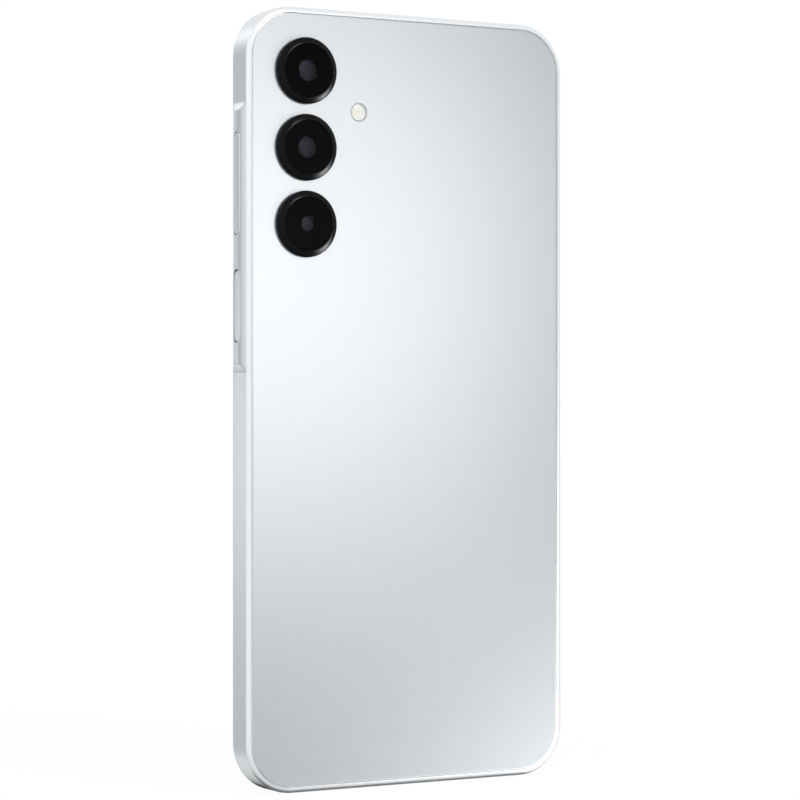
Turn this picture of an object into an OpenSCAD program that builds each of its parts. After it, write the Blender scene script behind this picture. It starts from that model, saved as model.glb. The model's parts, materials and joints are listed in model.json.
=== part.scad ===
// Smartphone with a plastic frame, three rear cameras and side keys.
// It stands on its bottom edge: x runs across, z up the long axis, the screen faces -y and the back +y.
// The origin is the middle of the charging socket's mouth, on the bottom edge.

/* [Body] */
// Width across the flat sides
body_w = 77.9; // [77:0.1:94]
// Height from the bottom edge to the top edge
body_h = 164.4; // [160:0.1:198]
// Thickness from the screen glass to the back panel
body_d = 7.9; // [7.8:0.1:9.5]
// Radius of the four outer corners
corner_r = 10.5; // [8.5:0.1:12.6]
// Thickness of the frame's side walls
wall = 2.4; // [2.2:0.1:2.9]

/* [Rims] */
// Width of the rounded rim beside the back panel
back_rim = 1.31; // [1:0.01:1.6]
// How far that rim falls from the back plane to the flat side
back_rim_drop = 0.5; // [0.3:0.05:0.7]
// Width of the rounded rim beside the screen glass
front_rim = 1.1; // [0.9:0.05:1.5]
// How far that rim falls from the front edge of the frame to the flat side
front_rim_drop = 1.2; // [0.8:0.05:1.4]
// How far the screen glass stands out of the frame
glass_proud = 0.35; // [0.1:0.05:0.4]

/* [Screen and back] */
// Thickness of the screen glass
glass_t = 0.6; // [0.5:0.05:0.75]
// Gap around the screen glass
glass_gap = 0.05; // [0.03:0.01:0.1]
// Thickness of the display panel behind the glass
panel_t = 1; // [0.8:0.05:1.05]
// Thickness of the back panel
cover_t = 0.8; // [0.6:0.05:0.95]
// Gap around the back panel
cover_gap = 0.03; // [0.02:0.01:0.08]
// Thickness of the mounting tapes
tape_t = 0.12; // [0.1:0.01:0.15]
// Thickness of the metal plate in the middle
plate_t = 0.5; // [0.4:0.05:0.6]

/* [Rear cameras] */
// Outer diameter of each raised lens ring
lens_d = 14; // [11.6:0.01:15.8]
// How far the lens rings stand out of the back panel
lens_proud = 1.48; // [1.2:0.01:1.8]
// Width of each ring's rounded rim
lens_rim = 1.42; // [1.2:0.01:1.7]
// Distance between neighbouring lenses
lens_pitch = 16.05; // [16:0.05:19.2]
// First lens, below the top edge
lens_down = 13.3; // [12:0.1:16]
// Lenses, in from the right side
lens_in = 13.8; // [12.5:0.1:16]
// Thickness of the lens covers
lens_cover_t = 0.6; // [0.5:0.05:0.65]
// Diameter of the flash window
flash_d = 4.05; // [3.4:0.05:4.9]
// Flash, in from the lenses towards the middle
flash_in = 12.8; // [12:0.1:15]

/* [Side keys] */
// Height of the raised key island above the flat side
island_h = 0.76; // [0.6:0.01:0.9]
// Radius of the island's rounded section
island_r = 5.5; // [5:0.1:6.5]
// Radius of the hollows that run the island out
island_scoop_r = 3.8; // [3.2:0.1:4.5]
// Length of the island at its crest
island_len = 52.9; // [50:0.1:60]
// Top of the island's crest, below the top edge
island_down = 21.9; // [21:0.1:24]
// Length of the volume key
volume_len = 21.2; // [17.7:0.1:22.5]
// Width of the volume key
volume_w = 2.6; // [2.2:0.05:3]
// Middle of the volume key, below the top edge
volume_down = 37.2; // [36.5:0.1:37.8]
// How far the volume key stands above the flat side
volume_h = 0.76; // [0.65:0.01:1]
// Length of the power key
power_len = 15; // [12.5:0.1:16.5]
// Width of the power key
power_w = 3.1; // [2.6:0.05:3.3]
// Middle of the power key, below the top edge
power_down = 62.7; // [62.4:0.1:63]
// How far the power key stands above the flat side
power_h = 0.48; // [0.3:0.01:0.6]
// Gap between a key and its slot
key_gap = 0.15; // [0.1:0.01:0.2]
// Travel of a key onto its switch
key_travel = 0.25; // [0.2:0.01:0.3]

/* [Card tray] */
// Length of the tray's outer face
tray_face_len = 19; // [18:0.1:21]
// Width of the tray's outer face
tray_face_w = 2.5; // [2.4:0.05:2.8]
// Middle of the tray, below the top edge
tray_down = 26.9; // [25.5:0.1:28]
// Length of the tray's plate
tray_len = 25; // [24.8:0.1:27]
// Width of the tray's plate
tray_w = 13.6; // [13.6:0.1:14]
// Gap between the tray and its slot
tray_gap = 0.08; // [0.05:0.01:0.12]
// Diameter of the eject pin hole
pin_hole_d = 1; // [0.9:0.05:1.2]

/* [Power and ports] */
// Thickness of the battery
battery_t = 4.5; // [3.8:0.1:4.5]
// Room between the battery and the left wall
battery_left = 3; // [2.6:0.1:4]
// Room between the battery and the right wall
battery_right = 5; // [3:0.1:6]
// Length of the bottom compartment, below the battery
lower_bay = 24; // [23.5:0.1:28]
// Length of the top compartment, above the battery
upper_bay = 52.4; // [52:0.1:63]
// Width of the connector's mouth inside
usb_w = 8.34; // [8:0.01:8.6]
// Height of the connector's mouth inside
usb_h = 2.56; // [2.4:0.01:2.7]
// Thickness of the connector's shell
usb_wall = 0.3; // [0.25:0.01:0.35]
// Diameter of the microphone holes
mic_d = 1; // [0.8:0.05:1.2]
// Number of loudspeaker slots
speaker_slots = 4; // [3:1:5]
// Length of each loudspeaker slot
speaker_slot_len = 3; // [2.5:0.1:3.2]

/* [Boards] */
// Thickness of the circuit boards
board_t = 0.8; // [0.6:0.05:0.9]
// Gap between the boards and the middle plate
board_gap = 0.15; // [0.1:0.01:0.2]
// Gap between the inner parts and the frame walls
inner_gap = 0.25; // [0.2:0.01:0.4]
// Shank diameter of the screws
screw_d = 1.4; // [1.2:0.05:1.6]

/* [Hidden] */
$fn = 48;

// depths, from the front towards the back; the keys, sockets and tray lie on side_z
half_w = body_w / 2;
side_z = 0;
flat_d = body_d - glass_proud - front_rim_drop - back_rim_drop;
flat_z0 = side_z - flat_d / 2;
flat_z1 = side_z + flat_d / 2;
rim_front_z = flat_z0 - front_rim_drop;
front_z = rim_front_z - glass_proud;
back_z = front_z + body_d;
glass_seat_z = front_z + glass_t + tape_t;
cover_in_z = back_z - cover_t;
cover_seat_z = cover_in_z - tape_t;
panel_z1 = front_z + glass_t + panel_t;
plate_z0 = panel_z1 + 0.1;
plate_z1 = plate_z0 + plate_t;
board_z0 = plate_z1 + board_gap;
board_z1 = board_z0 + board_t;
bracket_z1 = cover_seat_z - 0.15;

// places across and up the phone
wall_in = half_w - wall;
battery_y0 = lower_bay;
lens_x = half_w - lens_in;
lens_spots = [for (i = [0:2]) [lens_x, body_h - lens_down - i * lens_pitch]];
battery_y1 = min(body_h - upper_bay, lens_spots[2][1] - lens_d / 2);
flash_spot = [lens_x - flash_in, body_h - lens_down - lens_pitch / 2];
board_right = lens_x - 6.6;
volume_y = body_h - volume_down;
power_y = body_h - power_down;
island_y1 = body_h - island_down;
island_y0 = island_y1 - island_len;
scoop_run = sqrt(pow(island_scoop_r, 2) - pow(island_scoop_r - island_h, 2));
front_camera_spot = [0, body_h - 5.9];

// side keys, from the wall inwards
flange_t = 0.5;
flange_lip = 0.45;
volume_flange_gap = 0.35;
power_flange_gap = 0.1;
dome_gap = 0.05;
dome_t = 0.3;
dome_x = wall_in - volume_flange_gap - flange_t - key_travel - dome_gap;
key_flex_t = 0.3;
key_bracket_t = 0.35;
dome_ys = [volume_y - 7, volume_y + 7, power_y];

// card tray, drawn on the right and mirrored to the left side
tray_y = body_h - tray_down;
tray_z0 = board_z1 + 0.6;
tray_z1 = tray_z0 + 1;
tray_neck_x = half_w - 1.3;
tray_in_x = half_w - 2 - tray_len;
cage_t = 0.2;
cage_gap = 0.25;
cage_z1 = tray_z1 + cage_gap + cage_t;
pin_y = tray_y + tray_w / 2 + 1.2;
rod_r = 0.42;
rod_z = (tray_z0 + tray_z1) / 2;
slide_t = 0.6;
lever_t = 0.5;
lever_z0 = rod_z - lever_t / 2;
lever_x = tray_in_x - slide_t - 0.1 - 0.12 - 0.9;
lever_y = pin_y - 3.9;
lever_nose_r = 0.4;
lever_nose_x = 0.5;
lever_low = 4.1;
pivot_r = 0.6;
pivot_gap = 0.06;

// bottom compartment
usb_len = 7.2;
usb_back_y = 7.8;
guard_w = 2.8;
guard_len = 4;
sub_board_y1 = lower_bay - 2.5;
sub_board_right = 8.3;
speaker_x0 = sub_board_right + 0.7;
speaker_x1 = wall_in - inner_gap;
speaker_y0 = wall + inner_gap;
speaker_y1 = lower_bay - 1;
speaker_wall = 0.6;
speaker_z0 = plate_z1 + 0.1;
speaker_z1 = bracket_z1;
driver_w = 16;
driver_h = 12;
driver_x = (speaker_x0 + speaker_x1) / 2 - 0.5;
driver_y = (speaker_y0 + speaker_y1) / 2 + 1;
slot_pitch = 4;
slot_x = speaker_x0 + 3.5;
mic_x = -12;
motor_x = -half_w + 11.4;
motor_y = 13.5;
motor_r = 5;
motor_t = 2.7;

// top compartment
earpiece_w = 12;
earpiece_h = 6.2;
earpiece_x = -11.5;
earpiece_y = body_h - 8.4;
earpiece_z1 = plate_z1 + 2.3;
top_mic_x = 10;

// screws: [x, y] of each one, and the depth of its head
screw_head_d = 2.5;
screw_head_t = 0.4;
screw_gap = 0.04;
boss_r = screw_d / 2 + 0.8;
upper_screws = [[-half_w + 6.4, body_h - 6.8], [-half_w + 6.4, battery_y1 + 4],
    [board_right - 2.6, battery_y1 + 3.8], [board_right - 2.6, body_h - 5.2]];
lower_screws = [[-half_w + 6.6, lower_bay - 4.4], [-half_w + 20.4, 6.2], [sub_board_right - 2.2, 11.5]];
speaker_screws = [[speaker_x0 + 2.2, speaker_y1 - 2.2], [speaker_x1 - 2.2, speaker_y1 - 2.2]];
all_screws = concat(upper_screws, lower_screws, speaker_screws);

// ---- helpers: the phone is drawn flat, x across, y up its length, z towards the back, then stood up ----
module upright() rotate([90, 0, 0]) mirror([0, 0, 1]) children();

module left_side() mirror([1, 0, 0]) children();

module slab(z0, z1) translate([0, 0, z0]) linear_extrude(z1 - z0) children();

// round-cornered rectangle from its lower left corner
module round_rect(x0, y0, w, h, r) {
    translate([x0 + r, y0]) square([w - 2 * r, h]);
    translate([x0, y0 + r]) square([w, h - 2 * r]);
    for (x = [x0 + r, x0 + w - r], y = [y0 + r, y0 + h - r])
        translate([x, y]) circle(r);
}

// the phone's outline, inset all round
module outline(inset)
    round_rect(-half_w + inset, inset, body_w - 2 * inset, body_h - 2 * inset, corner_r - inset);

module box2(x0, y0, x1, y1) translate([x0, y0]) square([x1 - x0, y1 - y0]);

// a rectangle that stays clear of the frame's rounded inner corners
module bay(x0, y0, x1, y1) intersection() {
    box2(x0, y0, x1, y1);
    outline(wall + inner_gap);
}

module pill(len, w) {
    square([len - w, w], center = true);
    for (s = [-1, 1]) translate([s * (len - w) / 2, 0]) circle(w / 2);
}

// a pill-shaped bar along x, long in y
module side_bar(x0, x1, y, z, len, w)
    translate([x0, y, z]) rotate([90, 0, 90]) linear_extrude(x1 - x0) pill(len, w);

// a pill-shaped bar along y, long in x
module end_bar(y0, y1, x, z, len, w)
    translate([x, y1, z]) rotate([90, 0, 0]) linear_extrude(y1 - y0) pill(len, w);

module side_rod(x0, x1, y, z, r) translate([x0, y, z]) rotate([0, 90, 0]) cylinder(h = x1 - x0, r = r);

module end_rod(y0, y1, x, z, r) translate([x, y0, z]) rotate([-90, 0, 0]) cylinder(h = y1 - y0, r = r);

module disc(x, y, z0, z1, r) translate([x, y, z0]) cylinder(h = z1 - z0, r = r);

module block(x0, y0, z0, x1, y1, z1) translate([x0, y0, z0]) cube([x1 - x0, y1 - y0, z1 - z0]);

// carries a wall section round the outline: section x is outwards from the corner centres, y is depth
module sweep_outline() {
    run_x = body_w - 2 * corner_r;
    run_y = body_h - 2 * corner_r;
    for (s = [0, 1]) mirror([s, 0, 0]) {
        translate([run_x / 2, corner_r + run_y, 0]) rotate([90, 0, 0]) linear_extrude(run_y) children();
        translate([run_x / 2, corner_r + run_y, 0]) rotate_extrude(angle = 90) children();
        translate([run_x / 2, corner_r, 0]) mirror([0, 1, 0]) rotate_extrude(angle = 90) children();
    }
    translate([-run_x / 2, corner_r + run_y, 0]) rotate([90, 0, 90]) linear_extrude(run_x) children();
    translate([-run_x / 2, corner_r, 0]) mirror([0, 1, 0])
        rotate([90, 0, 90]) linear_extrude(run_x) children();
}

// points of a rounded rim, from the flat side (t = 0) to the inner edge (t = 1)
rim_tilt = 42;
rim_end_tilt = 4;
rim_steps = 6;
function rim_angle(t) = rim_tilt + (rim_end_tilt - rim_tilt) * t;
function rim_in(t) = (sin(rim_tilt) - sin(rim_angle(t))) / (sin(rim_tilt) - sin(rim_end_tilt));
function rim_out(t) = (cos(rim_angle(t)) - cos(rim_tilt)) / (cos(rim_end_tilt) - cos(rim_tilt));
function rim_points(z, width, rise) =
    [for (i = [0:rim_steps]) [corner_r - width * rim_in(i / rim_steps), z + rise * rim_out(i / rim_steps)]];

module frame_section() {
    front = rim_points(flat_z0, front_rim, -front_rim_drop);
    polygon(concat(rim_points(flat_z1, back_rim, back_rim_drop),
        [[corner_r - back_rim, cover_seat_z], [corner_r - wall, cover_seat_z],
            [corner_r - wall, glass_seat_z], [corner_r - front_rim, glass_seat_z]],
        [for (i = [rim_steps:-1:0]) front[i]]));
}

// raised island around the side keys: a slice of a round bar that hollows run out at both ends
module key_island() difference() {
    intersection() {
        translate([half_w + island_h - island_r, island_y0 - scoop_run, side_z]) rotate([-90, 0, 0])
            cylinder(h = island_len + 2 * scoop_run, r = island_r, $fn = 96);
        block(half_w - back_rim + 0.1, island_y0 - scoop_run, flat_z0 - 0.1,
            half_w + island_h + 1, island_y1 + scoop_run, flat_z1 + 0.15);
    }
    for (y = [island_y0 - scoop_run, island_y1 + scoop_run])
        translate([half_w + island_scoop_r, y, front_z - 1])
            cylinder(h = body_d + 2, r = island_scoop_r, $fn = 96);
}

module speaker_openings(y0, y1) for (i = [0:speaker_slots - 1])
    end_bar(y0, y1, slot_x + i * slot_pitch, side_z, speaker_slot_len, 1.1);

// thick blocks inside the bottom wall that shield the charging socket from side loads
module socket_guard(side) {
    x = side * (usb_w / 2 + usb_wall + 1 + guard_w / 2);
    block(x - guard_w / 2, wall - 0.1, board_z1 + 0.1, x + guard_w / 2, wall + guard_len,
        bracket_z1 - bracket_t - 0.1);
}

module outer_frame() color("silver") upright() difference() {
    union() {
        sweep_outline() frame_section();
        key_island();
        for (side = [-1, 1]) socket_guard(side);
    }
    side_bar(wall_in - 1, half_w + 2, volume_y, side_z, volume_len + 2 * key_gap, volume_w + 2 * key_gap);
    side_bar(wall_in - 1, half_w + 2, power_y, side_z, power_len + 2 * key_gap, power_w + 2 * key_gap);
    side_bar(half_w + 0.36, half_w + 2, power_y, side_z, power_len + 1.1, power_w + 1.1);
    left_side() side_bar(wall_in - 1, half_w + 1, tray_y, side_z,
        tray_face_len + 2 * tray_gap, tray_face_w + 2 * tray_gap);
    end_bar(-1, wall + 1, 0, side_z, usb_w + 2 * usb_wall + 0.24, usb_h + 2 * usb_wall + 0.24);
    end_rod(-1, wall + 1, mic_x, side_z, mic_d / 2);
    end_rod(body_h - wall - 1, body_h + 1, top_mic_x, side_z, mic_d / 2);
    speaker_openings(-1, wall + 1);
    block(-6, body_h - front_rim - 0.2, front_z, 6, body_h - front_rim + 0.35, rim_front_z + 0.9);
    block(-5, body_h - wall - 1, rim_front_z + 0.7, 5, body_h - front_rim + 0.2, rim_front_z + 1.7);
}

module mid_plate() color("lightsteelblue") upright() difference() {
    union() {
        slab(plate_z0, plate_z1) outline(wall);
        for (p = all_screws) disc(p[0], p[1], plate_z0, board_z1, boss_r);
    }
    for (p = all_screws) disc(p[0], p[1], plate_z0 - 1, board_z1 + 1, screw_d / 2 + screw_gap);
    disc(front_camera_spot[0], front_camera_spot[1], plate_z0 - 1, plate_z1 + 1, 2.6);
    block(earpiece_x - 4, earpiece_y - 1, plate_z0 - 1, earpiece_x + 4, earpiece_y + 1, plate_z1 + 1);
    block(-12.5, lower_bay - 1.4, plate_z0 - 1, -2.5, lower_bay - 0.6, plate_z1 + 1);
}

module display_glass() color("black") upright() slab(front_z, front_z + glass_t)
    outline(front_rim + glass_gap);

module display_panel() color("dimgray") upright() difference() {
    slab(front_z + glass_t, panel_z1) outline(wall + 0.1);
    disc(front_camera_spot[0], front_camera_spot[1], front_z, panel_z1 + 1, 2.5);
}

module tape_ring(outer_inset, inner_inset) difference() {
    outline(outer_inset);
    outline(inner_inset);
}

module display_tape() color("darkslategray") upright() slab(front_z + glass_t, glass_seat_z)
    tape_ring(front_rim + glass_gap + 0.05, wall - 0.05);

module back_cover_tape() color("darkslategray") upright() slab(cover_seat_z, cover_in_z)
    tape_ring(back_rim + cover_gap + 0.05, wall - 0.05);

module back_cover() color("whitesmoke") upright() difference() {
    slab(cover_in_z, back_z) outline(back_rim + cover_gap);
    for (p = lens_spots) disc(p[0], p[1], cover_in_z - 1, back_z + 1, ring_sleeve_r + 0.05);
    disc(flash_spot[0], flash_spot[1], cover_in_z - 1, back_z + 1, flash_d / 2);
}

// lens rings: a rounded rim outside, a seat for the cover glass and a sleeve through the back panel
ring_sleeve_r = lens_d / 2 - 0.92;
ring_bore_r = lens_d / 2 - 1.97;
cover_r = lens_d / 2 - lens_rim;
cover_seat = back_z + lens_proud - 0.05 - lens_cover_t;

module ring_section() {
    r = lens_d / 2;
    top = back_z + lens_proud;
    polygon(concat(
        [[ring_bore_r, cover_in_z - 0.25], [ring_sleeve_r, cover_in_z - 0.25], [ring_sleeve_r, back_z]],
        [[r, back_z], [r, back_z + 0.35]],
        [for (a = [15:15:90]) [r - 0.8 + 0.8 * cos(a), back_z + 0.35 + (lens_proud - 0.35) * sin(a)]],
        [[cover_r + 0.03, top], [cover_r + 0.03, cover_seat], [ring_bore_r, cover_seat]]));
}

module lens_rings() color("black") upright() for (p = lens_spots)
    translate([p[0], p[1], 0]) rotate_extrude($fn = 96) ring_section();

module lens_cover(p) color("black") upright() disc(p[0], p[1], cover_seat, cover_seat + lens_cover_t, cover_r);
module lens_cover_upper() lens_cover(lens_spots[0]);
module lens_cover_middle() lens_cover(lens_spots[1]);
module lens_cover_lower() lens_cover(lens_spots[2]);

flash_guide_z = board_z1 + 2.4;
module flash_window() color("lemonchiffon") upright() {
    disc(flash_spot[0], flash_spot[1], flash_guide_z, back_z, flash_d / 2 - 0.03);
    disc(flash_spot[0], flash_spot[1], cover_in_z - 0.22, cover_in_z, flash_d / 2 + 0.5);
}

module flash_led() color("gold") upright() {
    translate([flash_spot[0], flash_spot[1], 0]) {
        block(-1.5, -1.5, board_z1, 1.5, 1.5, board_z1 + 1.8);
        block(-0.9, -0.9, board_z1 + 1.8, 0.9, 0.9, flash_guide_z - 0.1);
    }
}

// a camera: a square body on the middle plate, a round barrel, and a flex with its connector on the board
module camera(p, size, body_z, barrel_r, barrel_z, bore_r, bore_z) difference() {
    union() {
        translate([p[0], p[1], 0]) block(-size / 2, -size / 2, plate_z1, size / 2, size / 2, body_z);
        if (barrel_z > body_z) disc(p[0], p[1], body_z - 0.1, barrel_z, barrel_r);
        block(board_right - 4, p[1] - 1.6, board_z1 + 0.1, p[0] - size / 2 + 0.1, p[1] + 1.6, board_z1 + 0.22);
        block(board_right - 5.6, p[1] - 1.6, board_z1, board_right - 3.6, p[1] + 1.6, board_z1 + 0.7);
    }
    disc(p[0], p[1], bore_z, barrel_z + body_z + 9, bore_r);
}

barrel_r = 3.3;
barrel_gap = 0.08;
focus_travel = 0.3;
barrel_z1 = cover_seat - focus_travel - 0.2;
main_body_z = cover_in_z - 0.35;
wide_barrel_z = cover_seat - 0.25;
module wide_camera() color("dimgray") upright()
    camera(lens_spots[0], 8.4, main_body_z, 2.9, wide_barrel_z, 2.2, wide_barrel_z - 0.5);
module main_camera() color("dimgray") upright()
    camera(lens_spots[1], 10.2, main_body_z, 0, 0, barrel_r + barrel_gap, plate_z1 + 0.8);
module main_lens_barrel() color("black") upright() difference() {
    disc(lens_spots[1][0], lens_spots[1][1], plate_z1 + 1.1, barrel_z1, barrel_r);
    disc(lens_spots[1][0], lens_spots[1][1], barrel_z1 - 0.5, barrel_z1 + 1, 2.3);
}
module macro_camera() color("dimgray") upright()
    camera(lens_spots[2], 6.4, main_body_z - 0.8, 2.1, wide_barrel_z - 0.2, 1.5, wide_barrel_z - 0.6);

module front_camera() color("dimgray") upright() translate([front_camera_spot[0], front_camera_spot[1], 0])
    difference() {
        union() {
            block(-3.1, -3.1, plate_z1, 3.1, 2.9, plate_z1 + 2.9);
            disc(0, 0, front_z + glass_t + 0.1, plate_z1 + 0.1, 2.2);
        }
        disc(0, 0, front_z, front_z + glass_t + 0.5, 1.4);
    }

// keys: a pill cap through the frame's slot and a wider flange inside the wall
module key_cap(y, len, w, h, flange_gap) {
    side_bar(wall_in - flange_gap - 0.1, half_w + h - 0.2, y, side_z, len, w);
    side_bar(half_w + h - 0.21, half_w + h, y, side_z, len - 0.36, w - 0.36);
    side_bar(wall_in - flange_gap - flange_t, wall_in - flange_gap, y, side_z,
        len + 2 * flange_lip + 2 * key_gap, w + 2 * flange_lip + 2 * key_gap);
}

module volume_key() color("lightgray") upright() {
    key_cap(volume_y, volume_len, volume_w, volume_h, volume_flange_gap);
    disc(wall_in - 0.6, volume_y, side_z - volume_w / 2, side_z + volume_w / 2, 0.5);
}

sensor_len = power_len - 2.4;
sensor_w = power_w - 0.9;
sensor_x1 = half_w + power_h - 0.4;
module power_key() color("lightgray") upright() difference() {
    key_cap(power_y, power_len, power_w, power_h, power_flange_gap);
    side_bar(wall_in - power_flange_gap - flange_t - 1, sensor_x1, power_y, side_z, sensor_len, sensor_w);
}

module fingerprint_sensor() color("darkslategray") upright() difference() {
    side_bar(wall_in - power_flange_gap - flange_t + 0.1, sensor_x1, power_y, side_z,
        sensor_len - 0.08, sensor_w - 0.08);
    side_bar(wall_in - 2, sensor_x1 - 0.9, power_y, side_z, sensor_len - 1.4, sensor_w - 1.1);
}

key_board_y0 = power_y - 9;
key_board_y1 = volume_y + 15.4;
key_tail_z = board_z1 + 0.1;
power_dome_x = wall_in - power_flange_gap - flange_t - key_travel - dome_gap;
module key_domes() color("silver") upright() {
    for (y = [dome_ys[0], dome_ys[1]]) side_rod(dome_x - dome_t, dome_x, y, side_z, 1.5);
    side_rod(dome_x - dome_t, power_dome_x, dome_ys[2], side_z, 0.9);
}

module side_key_flex() color("darkorange") upright() {
    block(dome_x - dome_t - key_flex_t, key_board_y0, side_z - 1.7, dome_x - dome_t, key_board_y1, side_z + 1.7);
    block(board_right - 2.5, key_board_y1 - 2, key_tail_z, dome_x - dome_t - 0.1, key_board_y1, key_tail_z + 0.1);
    block(board_right - 3.9, key_board_y1 - 2, board_z1, board_right - 2.4, key_board_y1, board_z1 + 0.7);
}

module side_key_bracket() color("gray") upright() {
    x0 = dome_x - dome_t - key_flex_t - key_bracket_t;
    difference() {
        block(x0, key_board_y0 - 0.6, side_z - 1.7, x0 + key_bracket_t, key_board_y1 + 0.6, side_z + 1.7);
        block(x0 - 1, key_board_y1 - 2.1, side_z - 2, x0 + 1, key_board_y1 + 0.1, key_tail_z + 0.2);
    }
    for (y = [key_board_y0 - 0.6, key_board_y1 + 0.2])
        block(x0 + 0.1, y, side_z - 1.7, wall_in, y + 0.4, side_z + 1.7);
}

// top boards
module board_holes(spots) for (p = spots) disc(p[0], p[1], board_z0 - 1, board_z1 + 1, boss_r + 0.1);

module main_board() color("seagreen") upright() difference() {
    slab(board_z0, board_z1) bay(-half_w, battery_y1 + 1.6, board_right, body_h);
    board_holes(upper_screws);
    block(-3.6, body_h - 9.6, board_z0 - 1, 3.6, body_h, board_z1 + 1);
    block(earpiece_x - earpiece_w / 2 - 0.4, earpiece_y - earpiece_h / 2 - 0.4, board_z0 - 1,
        earpiece_x + earpiece_w / 2 + 0.4, earpiece_y + earpiece_h / 2 + 0.4, board_z1 + 1);
}

// chips: [x from the board's right edge, y above the battery, width, height, thickness]
chips = [[-16.5, 12, 12, 12, 0.9], [-16.5, 25.5, 11.5, 9, 0.8], [-6.8, 16.5, 5, 5, 0.7]];
module board_chips() color("black") upright() for (c = chips)
    translate([board_right + c[0], battery_y1 + c[1], board_z1])
        block(-c[2] / 2, -c[3] / 2, 0, c[2] / 2, c[3] / 2, c[4]);

can_x0 = board_right - 23.4;
can_x1 = board_right - 9.8;
can_y0 = battery_y1 + 5.4;
can_y1 = battery_y1 + 31;
can_z1 = board_z1 + 1.3;
can_t = 0.15;
module shield_can() color("silver") upright() difference() {
    block(can_x0, can_y0, board_z1, can_x1, can_y1, can_z1);
    block(can_x0 + can_t, can_y0 + can_t, board_z1 - 1, can_x1 - can_t, can_y1 - can_t, can_z1 - can_t);
}

// battery
battery_x0 = -wall_in + battery_left;
battery_x1 = wall_in - battery_right;
battery_z0 = plate_z1 + tape_t;
module battery() color("dimgray") upright() slab(battery_z0, battery_z0 + battery_t)
    round_rect(battery_x0, battery_y0, battery_x1 - battery_x0, battery_y1 - battery_y0, 2);

module battery_tape() color("white") upright()
    block(battery_x0 + 4, battery_y0 + 4, plate_z1, battery_x1 - 4, battery_y1 - 4, battery_z0);

battery_flex_x = -9;
module battery_flex() color("darkorange") upright() {
    block(battery_flex_x - 4, battery_y1, board_z1 + 0.4, battery_flex_x + 4, battery_y1 + 3, board_z1 + 0.55);
    block(battery_flex_x - 4, battery_y1 + 2.6, board_z1, battery_flex_x + 4, battery_y1 + 5, board_z1 + 0.8);
}

// bottom board and the charging socket
module sub_board() color("seagreen") upright() difference() {
    slab(board_z0, board_z1) bay(-half_w, wall + 0.6, sub_board_right, sub_board_y1);
    board_holes(lower_screws);
    block(-usb_w / 2 - usb_wall - 0.2, 0, board_z0 - 1, usb_w / 2 + usb_wall + 0.2, usb_back_y + 0.4, board_z1 + 1);
    disc(motor_x, motor_y, board_z0 - 1, board_z1 + 1, motor_r + 0.3);
}

module usb_c_shell() color("silver") upright() difference() {
    end_bar(usb_back_y - usb_len - 0.2, usb_back_y, 0, side_z, usb_w + 2 * usb_wall, usb_h + 2 * usb_wall);
    end_bar(-1, usb_back_y - 0.6, 0, side_z, usb_w, usb_h);
}

module usb_c_tongue() color("black") upright()
    block(-3.34, usb_back_y - 0.6 - 5.1, side_z - 0.35, 3.34, usb_back_y - 0.6, side_z + 0.35);

module usb_c_seal() color("dimgray") upright() difference() {
    end_bar(wall, wall + 0.5, 0, side_z, usb_w + 2 * usb_wall + 1.2, usb_h + 2 * usb_wall + 1.2);
    end_bar(wall - 1, wall + 2, 0, side_z, usb_w + 2 * usb_wall + 0.02, usb_h + 2 * usb_wall + 0.02);
}

module bottom_microphone() color("gold") upright()
    block(mic_x - 1.75, wall + 0.65, board_z1, mic_x + 1.75, wall + 3.3, side_z + 0.8);

module top_microphone() color("gold") upright()
    block(top_mic_x - 1.75, body_h - wall - 3.3, board_z1, top_mic_x + 1.75, body_h - wall - 0.65, side_z + 0.8);

// loudspeaker: a box with a duct to the slots, a magnet and a diaphragm with its coil
magnet_r = 3.6;
coil_gap = 0.35;
coil_t = 0.3;
stroke = 0.35;
magnet_z1 = speaker_z1 - speaker_wall;
magnet_z0 = magnet_z1 - 1.6;
diaphragm_t = 0.15;
diaphragm_z0 = speaker_z0 + speaker_wall + stroke + 0.15;
module speaker_box() color("dimgray") upright() difference() {
    union() {
        difference() {
            slab(speaker_z0, speaker_z1) bay(speaker_x0, speaker_y0, speaker_x1, speaker_y1);
            block(driver_x - driver_w / 2, driver_y - driver_h / 2, speaker_z0 + speaker_wall,
                driver_x + driver_w / 2, driver_y + driver_h / 2, speaker_z1 - speaker_wall);
        }
    }
    block(slot_x - 1.5, speaker_y0 - 1, side_z - 0.8, slot_x + (speaker_slots - 1) * slot_pitch + 1.5,
        driver_y - driver_h / 2 + 1, side_z + 0.8);
    for (p = speaker_screws) {
        disc(p[0], p[1], speaker_z0 - 1, board_z1 + 0.2, boss_r + 0.1);
        disc(p[0], p[1], speaker_z0 - 1, speaker_z1 + 1, screw_d / 2 + 0.1);
        disc(p[0], p[1], speaker_z1 - screw_head_t, speaker_z1 + 1, screw_head_d / 2 + 0.15);
    }
}

module speaker_magnet() color("silver") upright() disc(driver_x, driver_y, magnet_z0, magnet_z1, magnet_r);

module speaker_diaphragm() color("saddlebrown") upright() {
    slab(diaphragm_z0, diaphragm_z0 + diaphragm_t)
        round_rect(driver_x - driver_w / 2 + 0.4, driver_y - driver_h / 2 + 0.4, driver_w - 0.8, driver_h - 0.8, 2);
    difference() {
        disc(driver_x, driver_y, diaphragm_z0 + 0.05, magnet_z0 + 0.6, magnet_r + coil_gap + coil_t);
        disc(driver_x, driver_y, diaphragm_z0 + diaphragm_t, magnet_z0 + 1, magnet_r + coil_gap);
    }
}

module speaker_mesh() color("black") upright()
    block(slot_x - 2, wall, side_z - 1, slot_x + (speaker_slots - 1) * slot_pitch + 2, wall + 0.15, side_z + 1);

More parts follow.
